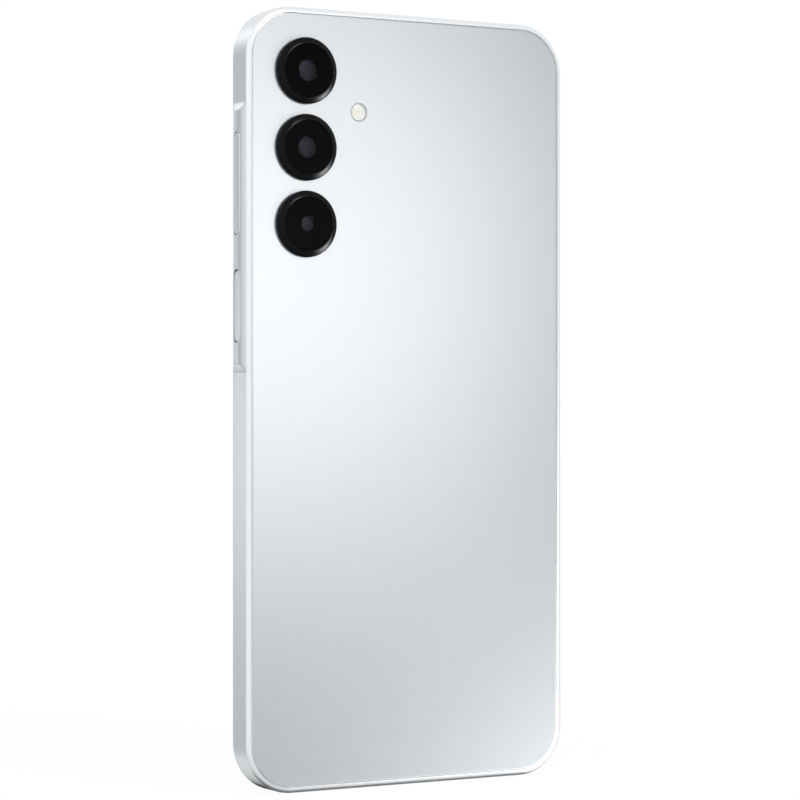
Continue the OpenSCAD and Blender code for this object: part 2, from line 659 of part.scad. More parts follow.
// earpiece
ear_wall = 0.35;
ear_diaphragm_z = plate_z1 + ear_wall + 0.3;
ear_stroke = 0.15;
module earpiece_case() color("silver") upright() translate([earpiece_x, earpiece_y, 0]) difference() {
    block(-earpiece_w / 2, -earpiece_h / 2, plate_z1, earpiece_w / 2, earpiece_h / 2, earpiece_z1);
    difference() {
        block(ear_wall - earpiece_w / 2, ear_wall - earpiece_h / 2, plate_z1 + ear_wall,
            earpiece_w / 2 - ear_wall, earpiece_h / 2 - ear_wall, earpiece_z1 - ear_wall);
        block(-3.6, -1.2, ear_diaphragm_z + 0.5, 3.6, 1.2, earpiece_z1);
    }
    block(-3, -1, plate_z1 - 1, 3, 1, plate_z1 + 1);
}

module earpiece_diaphragm() color("saddlebrown") upright() translate([earpiece_x, earpiece_y, 0]) {
    block(-5.3, -2.45, ear_diaphragm_z, 5.3, 2.45, ear_diaphragm_z + 0.1);
    difference() {
        block(-4.2, -1.8, ear_diaphragm_z + 0.05, 4.2, 1.8, ear_diaphragm_z + 0.9);
        block(-3.95, -1.55, ear_diaphragm_z + 0.1, 3.95, 1.55, ear_diaphragm_z + 2);
    }
}

module earpiece_mesh() color("black") upright()
    block(-6, body_h - front_rim - 0.04, rim_front_z + 0.2, 6, body_h - front_rim + 0.35, rim_front_z + 0.35);

// coin vibration motor: a closed case with a fixed shaft, and an off-centre rotor on it
motor_wall = 0.3;
shaft_r = 0.4;
module vibration_motor() color("silver") upright() translate([motor_x, motor_y, plate_z1]) {
    difference() {
        disc(0, 0, 0, motor_t, motor_r);
        disc(0, 0, motor_wall, motor_t - motor_wall, motor_r - motor_wall);
    }
    disc(0, 0, motor_wall, motor_t - motor_wall, shaft_r);
}

module vibration_rotor() color("goldenrod") upright() translate([motor_x, motor_y, plate_z1]) difference() {
    union() {
        disc(0, 0, motor_wall + 0.3, motor_t - motor_wall - 0.3, 1.4);
        intersection() {
            disc(0, 0, motor_wall + 0.3, motor_t - motor_wall - 0.3, motor_r - motor_wall - 0.4);
            block(-motor_r, -motor_r, 0, motor_r, -0.2, motor_t);
        }
    }
    disc(0, 0, 0, motor_t, shaft_r + 0.05);
}

// flat cables over and under the battery, and the aerial cable beside it
flex_t = 0.1;
main_flex_x = 3.5;
main_flex_w = 7;
flex_top_z = battery_z0 + battery_t + 0.02;
module main_flex() color("darkorange") upright() {
    x0 = main_flex_x - main_flex_w / 2;
    x1 = main_flex_x + main_flex_w / 2;
    block(x0, sub_board_y1 - 5, board_z1, x1, sub_board_y1 - 2, board_z1 + 0.7);
    block(x0, sub_board_y1 - 2.1, board_z1 + 0.4, x1, battery_y0 - 0.6, board_z1 + 0.5);
    block(x0, battery_y0 - 0.7, board_z1 + 0.4, x1, battery_y0 - 0.6, flex_top_z + flex_t);
    block(x0, battery_y0 - 0.7, flex_top_z, x1, battery_y1 + 0.7, flex_top_z + flex_t);
    block(x0, battery_y1 + 0.6, board_z1 + 0.4, x1, battery_y1 + 0.7, flex_top_z + flex_t);
    block(x0, battery_y1 + 0.6, board_z1 + 0.4, x1, battery_y1 + 2.6, board_z1 + 0.5);
    block(x0, battery_y1 + 2.5, board_z1, x1, battery_y1 + 5, board_z1 + 0.7);
}

cable_x = -wall_in + 1.4;
cable_r = 0.4;
module antenna_cable() color("black") upright() {
    end_rod(lower_bay - 5.5, battery_y1 + 4, cable_x, board_z1 + 0.6, cable_r);
    for (y = [lower_bay - 5.5, battery_y1 + 4]) disc(cable_x, y, board_z1, board_z1 + 1.1, 0.9);
}

module display_flex() color("darkorange") upright() {
    block(-11.5, 10, panel_z1, -3.5, lower_bay - 0.9, panel_z1 + 0.08);
    block(-11.5, lower_bay - 1, panel_z1, -3.5, lower_bay - 0.9, board_z1 + 0.5);
    block(-11.5, sub_board_y1 - 2, board_z1 + 0.4, -3.5, lower_bay - 0.9, board_z1 + 0.5);
    block(-11.5, sub_board_y1 - 4, board_z1, -3.5, sub_board_y1 - 1.9, board_z1 + 0.7);
}

// card tray with its seal, drawn on the right and mirrored
module card_tray() color("lightgray") upright() left_side() difference() {
    union() {
        side_bar(tray_neck_x, half_w, tray_y, side_z, tray_face_len, tray_face_w);
        side_bar(tray_neck_x - 0.7, tray_neck_x + 0.1, tray_y, side_z, tray_face_len - 1, tray_face_w - 1);
        block(tray_in_x, tray_y - tray_w / 2, tray_z0, tray_neck_x - 0.6, tray_y + tray_w / 2, tray_z1);
    }
    side_rod(wall_in - 2, half_w + 1, pin_y, side_z, pin_hole_d / 2);
    for (c = [[tray_in_x + 1.2, 11], [tray_in_x + 13.4, 8.9]]) {
        block(c[0], tray_y - tray_w / 2 + 0.7, tray_z0 + 0.25, c[0] + c[1], tray_y + tray_w / 2 - 0.7, tray_z1 + 1);
        block(c[0] + 0.6, tray_y - tray_w / 2 + 1.3, tray_z0 - 1,
            c[0] + c[1] - 0.6, tray_y + tray_w / 2 - 1.3, tray_z1);
    }
}

module card_tray_seal() color("dimgray") upright() left_side() difference() {
    side_bar(tray_neck_x - 0.55, tray_neck_x - 0.1, tray_y, side_z, tray_face_len + 0.04, tray_face_w + 0.04);
    side_bar(tray_neck_x - 1, tray_neck_x + 1, tray_y, side_z, tray_face_len - 1, tray_face_w - 1);
    side_rod(wall_in - 2, half_w + 1, pin_y, side_z, pin_hole_d / 2);
}

// card reader: a base on the board, two side walls and a cover, with the lever's pivot
module card_reader() color("silver") upright() left_side() difference() {
    half = tray_w / 2 + 0.25;
    x1 = wall_in - 0.35;
    union() {
        block(lever_x - 2.4, tray_y - half - cage_t, board_z1, x1, tray_y + half + cage_t, board_z1 + cage_t);
        block(lever_x - 2.4, tray_y + 2, board_z1, lever_x + 2, pin_y + 1, board_z1 + cage_t);
        for (s = [-1, 1]) {
            y = tray_y + s * (half + cage_t / 2);
            block(tray_in_x - 0.4, y - cage_t / 2, board_z1, x1, y + cage_t / 2, cage_z1);
        }
        block(tray_in_x - 0.4, tray_y - half - cage_t, cage_z1 - cage_t, x1, tray_y + half + cage_t, cage_z1);
        disc(lever_x, lever_y, board_z1, lever_z0 + lever_t + 0.3, pivot_r);
        disc(lever_x, lever_y, board_z1, lever_z0 - 0.1, pivot_r + 0.5);
    }
    block(tray_in_x + 6, tray_y - 3, cage_z1 - 1, tray_in_x + 17, tray_y + 3, cage_z1 + 1);
}

module eject_rod() color("silver") upright() left_side()
    side_rod(lever_x + lever_nose_x + lever_nose_r + 0.12, tray_neck_x - 0.9, pin_y, rod_z, rod_r);

module eject_lever() color("silver") upright() left_side() translate([lever_x, lever_y, lever_z0])
    difference() {
        union() {
            block(-0.7, -lever_low - 0.2, 0, 0.6, 4.1, lever_t);
            disc(0, 0, 0, lever_t, 1.2);
            for (y = [-lever_low, 3.9]) disc(lever_nose_x, y, 0, lever_t, lever_nose_r);
        }
        disc(0, 0, -1, lever_t + 1, pivot_r + pivot_gap);
    }

module eject_slide() color("silver") upright() left_side()
    block(lever_x + lever_nose_x + lever_nose_r + 0.12, lever_y - lever_low - 2.4, rod_z - 0.45,
        tray_in_x - 0.1, lever_y - 1.4, rod_z + 0.45);

// plastic brackets that clamp the boards, with the screws through them
bracket_t = 1.1;
module bracket(spots) difference() {
    union() {
        slab(bracket_z1 - bracket_t, bracket_z1) children();
        for (p = spots) disc(p[0], p[1], board_z1, bracket_z1, boss_r);
    }
    for (p = spots) {
        disc(p[0], p[1], board_z1 - 1, bracket_z1 + 1, screw_d / 2 + 0.1);
        disc(p[0], p[1], bracket_z1 - screw_head_t, bracket_z1 + 1, screw_head_d / 2 + 0.1);
    }
}

module upper_bracket() color("dimgray") upright() difference() {
    bracket(upper_screws) bay(-half_w, battery_y1 + 1.6, board_right, body_h);
    disc(flash_spot[0], flash_spot[1], board_z1, back_z, flash_d / 2 + 0.2);
}

module lower_bracket() color("dimgray") upright() difference() {
    bracket(lower_screws) bay(-half_w, wall + 0.6, sub_board_right, sub_board_y1);
    block(-usb_w / 2 - usb_wall - 0.2, 0, board_z1, usb_w / 2 + usb_wall + 0.2, usb_back_y + 0.4,
        side_z + usb_h / 2 + usb_wall + 0.15);
}

module screw(p) {
    disc(p[0], p[1], plate_z0 + 0.1, bracket_z1 - 0.2, screw_d / 2);
    difference() {
        disc(p[0], p[1], bracket_z1 - screw_head_t, bracket_z1, screw_head_d / 2);
        for (a = [0, 60, 120]) translate([p[0], p[1], bracket_z1 - 0.2]) rotate([0, 0, a])
            translate([-0.6, -0.2, 0]) cube([1.2, 0.4, 1]);
    }
}

module screws() color("silver") upright() for (p = all_screws) screw(p);

module graphite_sheet() color("dimgray") upright()
    block(battery_x0 + 2, battery_y0 + 4, cover_in_z - 0.07, battery_x1 - 2, battery_y1 - 4, cover_in_z);

coil_x0 = -half_w + 8.5;
coil_y0 = battery_y1 + 5;
coil_w = flash_spot[0] - flash_d / 2 - 2 - coil_x0;
coil_h = body_h - 14 - coil_y0;
coil_track = 0.7;
module nfc_coil() color("peru") upright() slab(bracket_z1, bracket_z1 + 0.1)
    for (i = [0:2]) difference() {
        inset = i * 1.4;
        round_rect(coil_x0 + inset, coil_y0 + inset, coil_w - 2 * inset, coil_h - 2 * inset, 5 - inset);
        round_rect(coil_x0 + inset + coil_track, coil_y0 + inset + coil_track,
            coil_w - 2 * inset - 2 * coil_track, coil_h - 2 * inset - 2 * coil_track, 5 - inset - coil_track);
    }

outer_frame();
mid_plate();
display_glass();
display_panel();
display_tape();
back_cover();
back_cover_tape();
lens_rings();
lens_cover_upper();
lens_cover_middle();
lens_cover_lower();
flash_window();
flash_led();
wide_camera();
main_camera();
main_lens_barrel();
macro_camera();
front_camera();
volume_key();
power_key();
fingerprint_sensor();
side_key_flex();
key_domes();
side_key_bracket();
main_board();
board_chips();
shield_can();
battery();
battery_tape();
battery_flex();
sub_board();
usb_c_shell();
usb_c_tongue();
usb_c_seal();
bottom_microphone();
top_microphone();
speaker_box();
speaker_magnet();
speaker_diaphragm();
speaker_mesh();
earpiece_case();
earpiece_diaphragm();
earpiece_mesh();
vibration_motor();
vibration_rotor();
main_flex();
antenna_cable();
display_flex();
card_tray();
card_tray_seal();
card_reader();
eject_rod();
eject_lever();
eject_slide();
upper_bracket();
lower_bracket();
screws();
graphite_sheet();
nfc_coil();
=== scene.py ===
import json
import math

import bpy
import numpy as np
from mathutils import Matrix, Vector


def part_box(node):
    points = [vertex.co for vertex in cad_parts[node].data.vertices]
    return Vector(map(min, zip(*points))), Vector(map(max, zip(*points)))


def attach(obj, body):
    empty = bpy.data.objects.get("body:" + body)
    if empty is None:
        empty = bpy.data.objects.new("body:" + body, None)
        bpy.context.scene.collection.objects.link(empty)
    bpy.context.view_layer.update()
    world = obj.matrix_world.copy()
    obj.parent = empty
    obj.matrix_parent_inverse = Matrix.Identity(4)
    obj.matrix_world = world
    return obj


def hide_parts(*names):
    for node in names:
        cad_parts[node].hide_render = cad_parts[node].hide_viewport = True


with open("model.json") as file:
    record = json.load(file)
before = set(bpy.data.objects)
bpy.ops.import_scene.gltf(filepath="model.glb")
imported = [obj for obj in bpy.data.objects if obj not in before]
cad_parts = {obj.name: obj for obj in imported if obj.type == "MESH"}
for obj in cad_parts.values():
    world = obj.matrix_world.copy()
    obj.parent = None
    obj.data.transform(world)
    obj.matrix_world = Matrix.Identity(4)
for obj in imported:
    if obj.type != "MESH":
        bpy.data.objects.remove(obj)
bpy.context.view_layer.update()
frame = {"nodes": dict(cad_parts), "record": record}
nodes = frame["nodes"]
mm = 0.001
print("frame loaded:", len(nodes), "nodes")


# corners of a CAD node in millimetres
def boxMm(node):
    low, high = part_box(node)
    return np.array(low) / mm, np.array(high) / mm


frameLow, frameHigh = boxMm("outer_frame")
panelLow, panelHigh = boxMm("back_cover")
glassLow, glassHigh = boxMm("display_glass")
halfW = -frameLow[0]
phoneH = frameHigh[2]
backPlane = panelHigh[1]
frontEdge = frameLow[1]


# camera
camera = {"distance": 0.6071, "azimuth": 30.13, "lens": 126.98, "sensor": 36.0,
          "aim": (0.0, -0.000525, 0.0822), "shiftY": -0.0003}  # aim and distance in metres


def addCamera(c):
    turn = math.radians(c["azimuth"])
    data = bpy.data.cameras.new("studioCamera")
    data.lens, data.sensor_width = c["lens"], c["sensor"]
    data.shift_y = c["shiftY"]
    data.clip_start, data.clip_end = 0.01, 50
    obj = bpy.data.objects.new("studioCamera", data)
    x, y, z = c["aim"]
    obj.location = (x + c["distance"] * math.sin(turn), y + c["distance"] * math.cos(turn), z)
    obj.rotation_euler = (math.pi / 2, 0, math.pi - turn)
    bpy.context.scene.collection.objects.link(obj)
    bpy.context.scene.camera = obj


addCamera(camera)


# surfaces
# quads over a grid of points, joined end to end where wrapped
def gridQuads(rows, cols, wrapRows, wrapCols):
    i = np.arange(rows if wrapRows else rows - 1)[:, None]
    j = np.arange(cols if wrapCols else cols - 1)[None, :]
    nextI, nextJ = (i + 1) % rows, (j + 1) % cols
    corners = [i * cols + j, nextI * cols + j, nextI * cols + nextJ, i * cols + nextJ]
    return np.stack(np.broadcast_arrays(*corners), -1).reshape(-1, 4)


# a solid from rows of points, each row a closed ring; open ends get a flat cap
def ringSolid(points, wrapRows=False):
    rows, cols = points.shape[:2]
    flat = points.reshape(-1, 3)
    quads = gridQuads(rows, cols, wrapRows, True)
    a, b, c, d = (flat[quads[:, k]] for k in range(4))
    inside = np.einsum("ij,ij->", a, np.cross(b, c)) + np.einsum("ij,ij->", a, np.cross(c, d))
    faces = quads.tolist()
    if not wrapRows:
        ends = [list(range(cols)), [(rows - 1) * cols + k for k in range(cols)][::-1]]
        middle = [flat[ends[0]].mean(0), flat[ends[1]].mean(0)]
        for end, centre in zip(ends, middle):
            p = flat[end]
            inside += np.einsum("ij,ij->", centre[None], np.cross(p, np.roll(p, -1, 0)))
        faces += ends
    if inside < 0:
        faces = [face[::-1] for face in faces]
    return flat, faces


# outline of a pill, long in its first axis: two half circles of radius r joined by straights
def pillRing(length, width, steps=20):
    r = width / 2
    turn = np.linspace(-math.pi / 2, math.pi / 2, steps)
    right = np.stack([length / 2 - r + r * np.cos(turn), r * np.sin(turn)], -1)
    return np.vstack([right, -right])


# rounded rectangle: base points on the rectangle of corner centres, each with its outward normal
def roundedOutline(halfWidth, bottom, top, radius, sideZ, turnSteps=20, endSteps=13):
    centreX, low, high = halfWidth - radius, bottom + radius, top - radius
    turn = np.linspace(0, math.pi / 2, turnSteps + 1)[1:-1]
    across = np.linspace(centreX, -centreX, endSteps)
    down = np.linspace(high, low, 15)
    base = [np.stack([np.full_like(sideZ, centreX), sideZ], -1)]
    normal = [np.tile([1.0, 0.0], (len(sideZ), 1))]
    for corner, start, edge, n in (
            ((centreX, high), 0, np.stack([across, np.full_like(across, high)], -1), (0, 1)),
            ((-centreX, high), 1, np.stack([np.full_like(down, -centreX), down], -1), (-1, 0)),
            ((-centreX, low), 2, np.stack([-across, np.full_like(across, low)], -1), (0, -1)),
            ((centreX, low), 3, None, None)):
        angle = turn + start * math.pi / 2
        base.append(np.tile(corner, (len(angle), 1)))
        normal.append(np.stack([np.cos(angle), np.sin(angle)], -1))
        if edge is not None:
            base.append(edge)
            normal.append(np.tile(n, (len(edge), 1)).astype(float))
    return np.vstack(base), np.vstack(normal)


# carries a section of (inset, depth) points round an outline
def sweepOutline(base, normal, radius, section):
    reach = radius - section[:, 0]
    xz = base[:, None, :] + normal[:, None, :] * reach[None, :, None]
    depth = np.broadcast_to(section[:, 1], xz.shape[:2])
    return np.stack([xz[..., 0], depth, xz[..., 1]], -1)


# quadratic curve that rounds the corner b between a and c
def easeCorner(a, b, c, steps=5):
    t = np.linspace(0, 1, steps)[:, None]
    return (1 - t) ** 2 * np.array(a) + 2 * t * (1 - t) * np.array(b) + t ** 2 * np.array(c)


# turns a profile of (radius, depth) points about an axis along Y
def lathe(profile, centre, steps=96, closed=True):
    profile = np.array(profile, float)
    turn = np.linspace(0, 2 * math.pi, steps, endpoint=False)
    ring = np.stack([np.cos(turn), np.zeros(steps), np.sin(turn)], -1)
    points = profile[:, None, 0, None] * ring[None]
    points[..., 1] = profile[:, 1][:, None]
    points = points + np.array([centre[0], 0, centre[1]])
    return ringSolid(points, wrapRows=closed)


# stacks pill outlines: steps give (grow, height), place turns (u, v, height) into x, y, z
def stackRings(length, width, steps, place, ringSteps=20):
    rings = []
    for grow, height in steps:
        ring = pillRing(length + 2 * grow, width + 2 * grow, ringSteps)
        rings.append(place(ring[:, 0], ring[:, 1], np.full(len(ring), float(height))))
    return ringSolid(np.stack(rings))


# places for a stack: on a long side centred at z, or on the bottom or top end centred at x
def onSide(z, sign=1):
    return lambda u, v, h: np.stack([sign * h, v, z + u], -1)


def onEnd(x):
    return lambda u, v, h: np.stack([x + u, v, h], -1)


def boxSolid(low, high):
    x0, y0, z0 = low
    x1, y1, z1 = high
    ring = np.array([[x0, y0], [x1, y0], [x1, y1], [x0, y1]], float)
    rows = [np.column_stack([ring, np.full(4, z)]) for z in (z0, z1)]
    return ringSolid(np.stack(rows))


def meshFrom(name, solids):
    points, faces, start = [], [], 0
    for flat, solidFaces in solids:
        points.append(flat)
        faces += [[k + start for k in face] for face in solidFaces]
        start += len(flat)
    mesh = bpy.data.meshes.new(name)
    mesh.from_pydata((np.vstack(points) * mm).tolist(), [], faces)
    mesh.update()
    return mesh


def objectFrom(name, mesh):
    obj = bpy.data.objects.new(name, mesh)
    bpy.context.scene.collection.objects.link(obj)
    return obj


# cuts all the cutter solids out of a mesh at once
def cutOut(mesh, cutters):
    body = objectFrom("bodyToCut", mesh)
    tool = objectFrom("cutTool", meshFrom("cutTool", cutters))
    cut = body.modifiers.new("cut", "BOOLEAN")
    cut.operation, cut.solver, cut.object = "DIFFERENCE", "EXACT", tool
    depsgraph = bpy.context.evaluated_depsgraph_get()
    result = bpy.data.meshes.new_from_object(body.evaluated_get(depsgraph))
    for obj in (body, tool):
        bpy.data.objects.remove(obj)
    return result


# a finished piece: smooth but for sharp edges, riding on its body, standing for CAD nodes
def newPiece(name, mesh, body, material, stands=(), sharpAngle=32):
    if isinstance(mesh, list):
        mesh = meshFrom(name, mesh)
    mesh.name = name
    mesh.shade_smooth()
    mesh.set_sharp_from_angle(angle=math.radians(sharpAngle))
    obj = objectFrom(name, mesh)
    mesh.materials.clear()
    mesh.materials.append(material)
    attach(obj, body)
    if stands:
        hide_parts(*stands)
    return obj


# materials
def toLinear(hexColor):
    parts = [int(hexColor[k:k + 2], 16) / 255 for k in (1, 3, 5)]
    return [p / 12.92 if p <= 0.04045 else ((p + 0.055) / 1.055) ** 2.4 for p in parts] + [1.0]


# adds a node; inputs holds values or the sockets that feed it
def addNode(tree, kind, inputs=None, **settings):
    node = tree.nodes.new(kind)
    for key, value in settings.items():
        setattr(node, key, value)
    for key, value in (inputs or {}).items():
        if isinstance(value, bpy.types.NodeSocket):
            tree.links.new(value, node.inputs[key])
        else:
            node.inputs[key].default_value = value
    return node


# a Principled material with a fine grain: grainMm is its real spacing, relief its height in mm
def finish(name, color, metallic=0.0, roughness=0.4, grainMm=0.0, relief=0.0, mottle=0.0,
           roughVary=0.0, **shader):
    material = bpy.data.materials.new(name)
    material.use_nodes = True
    tree = material.node_tree
    tree.nodes.clear()
    out = addNode(tree, "ShaderNodeOutputMaterial")
    bsdf = addNode(tree, "ShaderNodeBsdfPrincipled",
                   {"Base Color": toLinear(color), "Metallic": metallic, "Roughness": roughness})
    for key, value in shader.items():
        bsdf.inputs[shaderSockets[key]].default_value = value
    if grainMm:
        place = addNode(tree, "ShaderNodeTexCoord")
        noise = addNode(tree, "ShaderNodeTexNoise",
                        {"Vector": place.outputs["Object"], "Scale": 1 / (grainMm * mm), "Detail": 3.0})
        if mottle:
            base = np.array(toLinear(color)[:3])
            ramp = addNode(tree, "ShaderNodeValToRGB", {"Fac": noise.outputs["Fac"]})
            ramp.color_ramp.elements[0].position = 0.3
            ramp.color_ramp.elements[1].position = 0.7
            ramp.color_ramp.elements[0].color = list(base * (1 - mottle)) + [1]
            ramp.color_ramp.elements[1].color = list(np.minimum(base * (1 + mottle), 1)) + [1]
            tree.links.new(ramp.outputs["Color"], bsdf.inputs["Base Color"])
        if roughVary:
            spread = addNode(tree, "ShaderNodeMapRange",
                             {"Value": noise.outputs["Fac"], "From Min": 0.3, "From Max": 0.7,
                              "To Min": roughness - roughVary, "To Max": roughness + roughVary})
            tree.links.new(spread.outputs["Result"], bsdf.inputs["Roughness"])
        if relief:
            bump = addNode(tree, "ShaderNodeBump",
                           {"Height": noise.outputs["Fac"], "Distance": relief * mm, "Strength": 1.0})
            tree.links.new(bump.outputs["Normal"], bsdf.inputs["Normal"])
    tree.links.new(bsdf.outputs["BSDF"], out.inputs["Surface"])
    return material


shaderSockets = {"specularTint": "Specular Tint", "coat": "Coat Weight",
                 "coatRough": "Coat Roughness", "alpha": "Alpha", "specular": "Specular IOR Level"}

finishes = {
    # pearl base coat and clear lacquer on moulded polycarbonate: a soft metallic glow
    # under a hard gloss
    "back_panel": finish("pearlLacquerPolycarbonate", "#D8DBDD", metallic=0.72, roughness=0.17,
                         grainMm=0.35, roughVary=0.012, mottle=0.006, coat=1.0, coatRough=0.03),
    # vapour-coated satin silver lacquer on moulded polycarbonate: even, slightly grained highlights
    "frame_paint": finish("satinSilverCoating", "#E4E6E7", metallic=0.92, roughness=0.17,
                          grainMm=0.3, roughVary=0.015, relief=0.0003, coat=0.3, coatRough=0.1),
    "key_paint": finish("satinSilverKeyCoating", "#E4E6E7", metallic=0.92, roughness=0.17,
                        grainMm=0.3, roughVary=0.015, relief=0.0003, coat=0.3, coatRough=0.1),
    # gloss black anodised and lacquered aluminium: mirror glints on a black body
    "lens_metal": finish("glossBlackAnodised", "#040404", roughness=0.11, grainMm=0.3,
                         roughVary=0.01, specular=0.11),
    # anti-reflection coated glass printed on its back: flat deep black that hardly mirrors
    "lens_glass": finish("coatedPrintedGlass", "#010101", roughness=0.06, grainMm=4.0,
                         roughVary=0.01, specular=0.04),
    # chemically strengthened glass over a black border print
    "cover_glass": finish("strengthenedCoverGlass", "#030304", roughness=0.04, grainMm=6.0,
                          roughVary=0.008, specular=0.35),
    "plate_alloy": finish("dieCastMagnesium", "#B4B6BA", metallic=1.0, roughness=0.42,
                          grainMm=0.4, relief=0.01, roughVary=0.06),
    "panel": finish("displayFilmStack", "#101113", roughness=0.3, grainMm=1.5, mottle=0.1),
    "tape": finish("closedCellFoamTape", "#242424", roughness=0.85, grainMm=0.2, relief=0.01),
    # moulded acrylic, slightly milky, clear enough to show the lamp under it
    "flash_plastic": finish("milkyMouldedAcrylic", "#F7F8F4", roughness=0.08, grainMm=1.0,
                            roughVary=0.01, alpha=0.3),
    "led": finish("yellowPhosphorSilicone", "#F2DE76", roughness=0.55, grainMm=0.15,
                  mottle=0.08, relief=0.004),
    "camera_body": finish("blackGlassFilledNylon", "#0E0E10", roughness=0.45, grainMm=0.15,
                          relief=0.003, roughVary=0.05),
    "sensor": finish("matteSensorFilm", "#8F9396", metallic=0.4, roughness=0.36, grainMm=0.2,
                     roughVary=0.03),
    "steel": finish("stampedStainlessSteel", "#BFC0C0", metallic=1.0, roughness=0.28,
                    grainMm=0.3, roughVary=0.06, relief=0.002),
    "board": finish("solderMaskLaminate", "#0F4A2E", roughness=0.38, grainMm=0.8, mottle=0.12,
                    relief=0.004),
    "chip": finish("mouldedEpoxyPackage", "#121214", roughness=0.6, grainMm=0.1, relief=0.003),
    "pouch": finish("aluminiumLaminateFoil", "#6B6D70", metallic=0.85, roughness=0.4,
                    grainMm=2.5, relief=0.03, roughVary=0.05),
    "flex": finish("polyimideFlexCircuit", "#B9722A", roughness=0.42, grainMm=0.6, mottle=0.1),
    "rubber_seal": finish("mouldedSilicone", "#3A3A3B", roughness=0.62, grainMm=0.2, relief=0.003),
    "inner_plastic": finish("mouldedPolycarbonate", "#1F2022", roughness=0.48, grainMm=0.2,
                            relief=0.004, roughVary=0.05),
    "diaphragm": finish("peekDiaphragmFilm", "#5B4A36", roughness=0.35, grainMm=0.5, mottle=0.08),
    "mesh": finish("wovenBlackSteelMesh", "#1A1A1B", metallic=0.9, roughness=0.42, grainMm=0.1,
                   roughVary=0.05),
    "magnet": finish("nickelPlatedNeodymium", "#B9BABC", metallic=1.0, roughness=0.2,
                     grainMm=0.4, roughVary=0.04),
    "brass_weight": finish("machinedTungstenBrass", "#B59A5A", metallic=1.0, roughness=0.3,
                           grainMm=0.2, roughVary=0.05),
    "cable_black": finish("fluoropolymerJacket", "#121212", roughness=0.45, grainMm=0.4,
                          relief=0.004),
    "graphite": finish("pressedGraphiteSheet", "#303133", metallic=0.4, roughness=0.45,
                       grainMm=0.5, mottle=0.12, relief=0.004),
    "copper_coil": finish("etchedCopper", "#C9764A", metallic=1.0, roughness=0.3, grainMm=0.3,
                          roughVary=0.05),
    "mic_metal": finish("goldPlatedCan", "#D9BE78", metallic=1.0, roughness=0.25, grainMm=0.3,
                        roughVary=0.05),
}
extras = {
    # anti-reflection coated clear glass: only a faint mirror of it shows
    "window": finish("coatedClearGlass", "#020203", roughness=0.03, grainMm=4.0,
                     roughVary=0.005, alpha=0.1),
    # multicoated front element: a violet sheen on near black
    "element": finish("multicoatedElement", "#121017", roughness=0.36, grainMm=2.0,
                      roughVary=0.01, specular=0.32, specularTint=(0.78, 0.7, 0.95, 1.0)),
    "barrel": finish("ribbedBlackPolycarbonate", "#040405", roughness=0.45, grainMm=0.1,
                     relief=0.002, specular=0.08),
    # the ring's foot is blasted before anodising, so the panel beside it stays free of glare
    "skirt": finish("blastedBlackAnodised", "#060606", roughness=0.55, grainMm=0.12,
                    relief=0.002, specular=0.06),
    "flashCup": finish("whiteReflectorNylon", "#EDECE6", roughness=0.4, grainMm=0.2,
                       roughVary=0.04),
    "flashTrim": finish("greyFlashTrim", "#A9ABAD", metallic=0.6, roughness=0.35, grainMm=0.2,
                        roughVary=0.03),
    "contact": finish("goldPlatedContact", "#D8B45C", metallic=1.0, roughness=0.22, grainMm=0.2,
                      roughVary=0.04),
}
print("materials made:", len(finishes) + len(extras))

# every CAD node starts from its slot's finish
for row in frame["record"]["subparts"]:
    obj = nodes[row["node"]]
    obj.data.materials.clear()
    obj.data.materials.append(finishes[row["material_slot"]])


# frame shell: the rim, flat side and key island, swept round the outline
shell = {"cornerR": 10.5, "wall": 2.4, "backRim": 1.31, "backDrop": 0.5, "frontRim": 1.1,
         "frontDrop": 1.2, "rimTilt": 42.0, "rimEndTilt": 4.0, "edge": 0.07, "ledge": 0.12}
island = {"rise": 0.76, "round": 5.5, "scoop": 3.8, "low": 89.6, "high": 142.5,
          "shape": 2.35, "blend": 0.08, "crestEase": 0.12, "fade": 1.4}
# length of a hollow along the side, from the crest down to the flat
island["run"] = math.sqrt(island["scoop"] ** 2 - (island["scoop"] - island["rise"]) ** 2)


# a rim's points: its tilt runs evenly from rimTilt at the flat side to rimEndTilt at the inner edge
def rimCurve(width, drop, t):
    s = shell
    tilt = np.radians(s["rimTilt"] + (s["rimEndTilt"] - s["rimTilt"]) * t)
    start, end = math.radians(s["rimTilt"]), math.radians(s["rimEndTilt"])
    inset = width * (math.sin(start) - np.sin(tilt)) / (math.sin(start) - math.sin(end))
    rise = drop * (np.cos(tilt) - math.cos(start)) / (math.cos(end) - math.cos(start))
    return np.stack([inset, rise], -1)


# the wall's section: softened seam, rim, flat side, front rim and the ledges for panel and glass
def shellSection():
    s = shell
    flatHigh, flatLow = backPlane - s["backDrop"], frontEdge + s["frontDrop"]
    t = np.linspace(0.05, 0.95, 12)
    back = rimCurve(s["backRim"], s["backDrop"], t) + [0, flatHigh]
    front = rimCurve(s["frontRim"], -s["frontDrop"], t) + [0, flatLow]
    side = np.linspace(flatHigh - s["edge"], flatLow + s["edge"], 25)
    inner, step = s["wall"], s["ledge"]
    return np.vstack([
        [[s["backRim"], panelLow[1] - step]],
        easeCorner((s["backRim"], backPlane - 0.1), (s["backRim"], backPlane), back[-1]),
        back[-2:0:-1],
        easeCorner(back[0], (0, flatHigh), (0, side[0])),
        np.column_stack([np.zeros(len(side) - 2), side[1:-1]]),
        easeCorner((0, side[-1]), (0, flatLow), front[0]),
        front[1:-1],
        easeCorner(front[-1], (s["frontRim"], frontEdge), (s["frontRim"], frontEdge + 0.1)),
        [[s["frontRim"], glassHigh[1] + step], [inner, glassHigh[1] + step],
         [inner, panelLow[1] - step]]])


# the larger or smaller of two values, eased over a width k where they meet
def smoothMax(a, b, k):
    return 0.5 * (a + b + np.sqrt((a - b) ** 2 + k * k))


